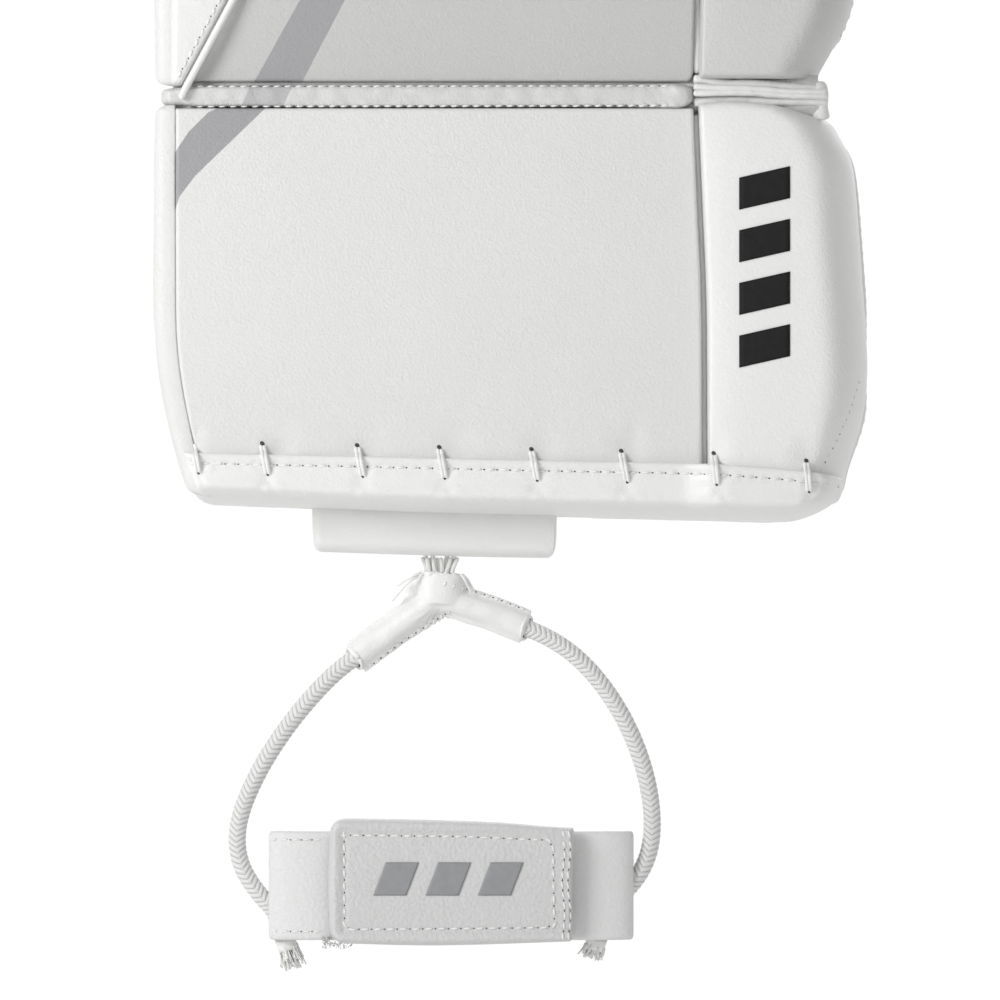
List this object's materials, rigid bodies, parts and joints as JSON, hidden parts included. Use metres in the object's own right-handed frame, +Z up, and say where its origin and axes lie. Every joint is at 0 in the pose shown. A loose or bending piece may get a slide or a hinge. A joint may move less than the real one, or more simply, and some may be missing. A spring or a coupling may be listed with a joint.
{
  "type": "goalie leg pad",
  "caption": "Ice hockey goalie leg pad for the left leg: padded leather sections with flex breaks, outer roll, laced toe binding and a bungee toe tie with a hook-and-loop skate strap.",
  "frame": {"origin": "middle of the pad's back face, level with the boot break, where the leg lies in the leg channel", "axes": "+Z up along the leg, +Y back towards the leg, +X to the outer side of the pad; the front face looks along -Y"},
  "size_m": [0.284, 0.1872, 1.0508],
  "materials": {
    "cover_leather": "satin",
    "break_leather": "satin",
    "welt_leather": "satin",
    "strap_leather": "satin",
    "face_foam": "matte",
    "core_foam": "matte",
    "stiffener_plastic": "matte",
    "lining_fabric": "matte",
    "lace": "matte",
    "bungee": "matte",
    "webbing": "matte",
    "hook_and_loop": "matte",
    "rivet_metal": "satin"
  },
  "bodies": {
    "shin": {"boot_break_band": "break_leather", "calf_inner_wall": "cover_leather", "calf_liner": "lining_fabric", "calf_wall_patches": "hook_and_loop", "lower_knee_break_band": "break_leather", "shin_face_cover": "cover_leather", "shin_face_foam": "face_foam", "shin_panel_welt": "welt_leather", "shin_rear_core": "core_foam", "shin_rear_cover": "lining_fabric", "shin_roll_cover": "cover_leather", "shin_roll_foam": "face_foam", "shin_side_panel": "cover_leather", "shin_stiffener": "stiffener_plastic"},
    "boot": {"boot_face_cover": "cover_leather", "boot_face_foam": "face_foam", "boot_inner_wall": "cover_leather", "boot_outer_wall": "cover_leather", "boot_rear_core": "core_foam", "boot_rear_cover": "lining_fabric", "boot_roll_cover": "cover_leather", "boot_roll_foam": "face_foam", "toe_binding": "cover_leather", "toe_bridge_flap": "cover_leather", "toe_bridge_laces": "lace", "toe_lacing": "lace"},
    "knee": {"knee_cradle": "lining_fabric", "knee_face_cover": "cover_leather", "knee_face_foam": "face_foam", "knee_inner_wall": "cover_leather", "knee_rear_core": "core_foam", "knee_rear_cover": "lining_fabric", "knee_roll_cover": "cover_leather", "knee_roll_foam": "face_foam", "knee_wall_patch": "hook_and_loop", "upper_knee_break_band": "break_leather"},
    "thigh": {"thigh_face_cover": "cover_leather", "thigh_face_foam": "face_foam", "thigh_rear_core": "core_foam", "thigh_rear_cover": "lining_fabric", "thigh_roll_cover": "cover_leather", "thigh_roll_foam": "face_foam", "thigh_stiffener": "stiffener_plastic", "thigh_top_binding": "cover_leather"},
    "calf_wing": {"calf_rivets": "rivet_metal", "calf_straps": "webbing", "calf_wing": "cover_leather"},
    "knee_wing": {"knee_rivets": "rivet_metal", "knee_strap": "webbing", "knee_wing": "cover_leather"},
    "toe_tie": {"bungee_inner": "bungee", "bungee_inner_end": "bungee", "bungee_outer": "bungee", "bungee_outer_end": "bungee", "tie_connector": "cover_leather", "tie_lace": "lace", "toe_strap": "strap_leather"},
    "toe_tab": {"toe_strap_tab": "strap_leather", "toe_tab_hooks": "hook_and_loop"}
  },
  "joints": [
    {"name": "boot_flex", "type": "hinge", "parent": "shin", "child": "boot", "pos_m": [0, -0.056, 0], "axis": [-1, 0, 0], "range_deg": [-12, 28], "stiffness_Nm_per_rad": 6},
    {"name": "lower_knee_flex", "type": "hinge", "parent": "shin", "child": "knee", "pos_m": [0, -0.056, 0.29], "axis": [-1, 0, 0], "range_deg": [-8, 20], "stiffness_Nm_per_rad": 25},
    {"name": "upper_knee_flex", "type": "hinge", "parent": "knee", "child": "thigh", "pos_m": [0, -0.056, 0.47], "axis": [-1, 0, 0], "range_deg": [-10, 25], "stiffness_Nm_per_rad": 10},
    {"name": "calf_wing_swing", "type": "hinge", "parent": "shin", "child": "calf_wing", "pos_m": [0.08, 0.004, 0.146], "axis": [0, 0, -1], "range_deg": [0, 90]},
    {"name": "knee_wing_swing", "type": "hinge", "parent": "knee", "child": "knee_wing", "pos_m": [0.08, 0.004, 0.388], "axis": [0, 0, -1], "range_deg": [0, 90]},
    {"name": "toe_tie_swing", "type": "hinge", "parent": "boot", "child": "toe_tie", "pos_m": [-0.028, -0.017, -0.184], "axis": [1, 0, 0], "range_deg": [-50, 80]},
    {"name": "toe_tab_peel", "type": "hinge", "parent": "toe_tie", "child": "toe_tab", "pos_m": [0.025, -0.0366, -0.3075], "axis": [0, 0, 1], "range_deg": [0, 150]}
  ]
}
